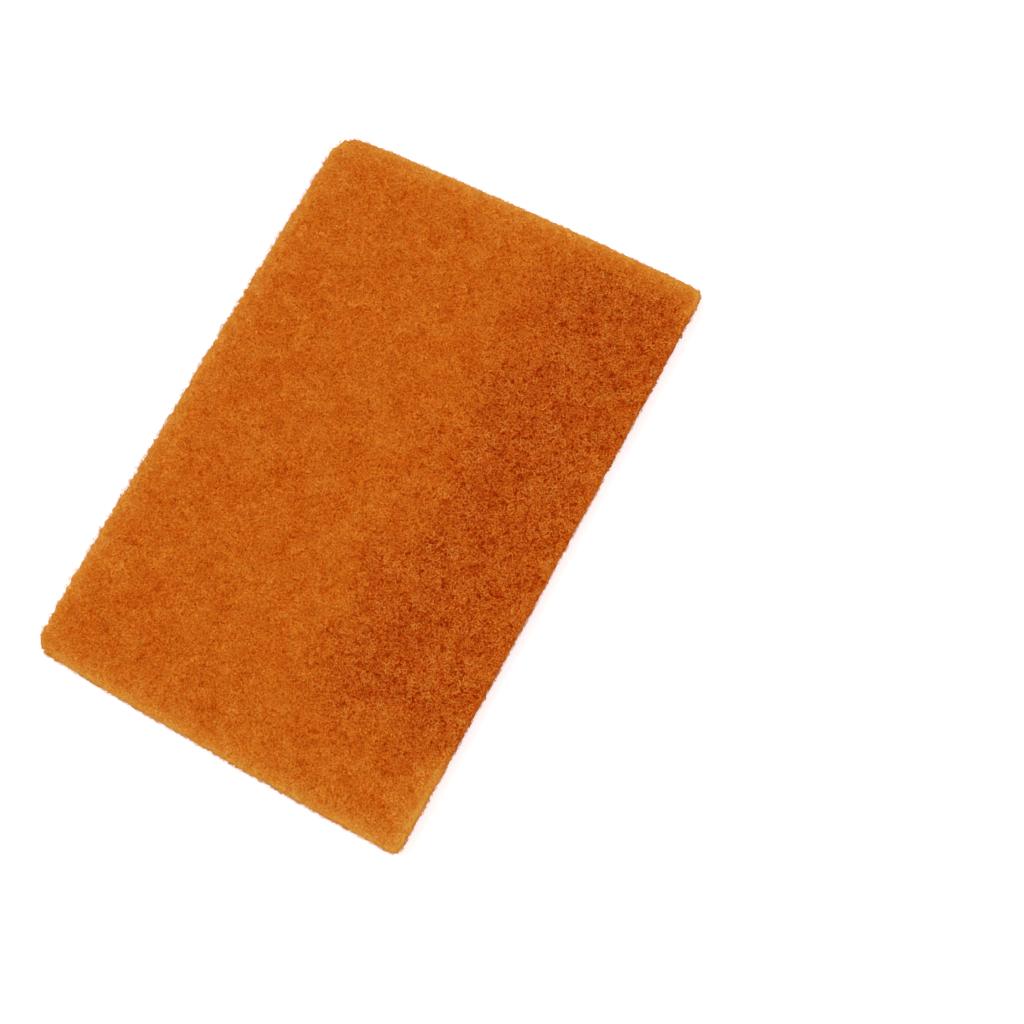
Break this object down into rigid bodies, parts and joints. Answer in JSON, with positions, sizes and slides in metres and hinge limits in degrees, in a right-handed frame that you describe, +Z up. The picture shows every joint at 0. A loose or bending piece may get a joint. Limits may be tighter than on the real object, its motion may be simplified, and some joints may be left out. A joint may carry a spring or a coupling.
{
  "type": "abrasive hand pad",
  "caption": "Flat rectangular abrasive hand pad of matted crimped orange fibre, with a fuzzy cut rim and softly rounded corners, for scouring and scuffing by hand.",
  "frame": {"origin": "centre of the flat underside the pad lies on", "axes": "+Z up through the pad's thickness, +Y along its long side, +X along its short side"},
  "size_m": [0.1572, 0.2308, 0.0074],
  "materials": {
    "fibre_web": "matted resin-bonded fibre, rough and matt"
  },
  "bodies": {
    "root": {"hand_pad": "fibre_web"}
  },
  "joints": []
}
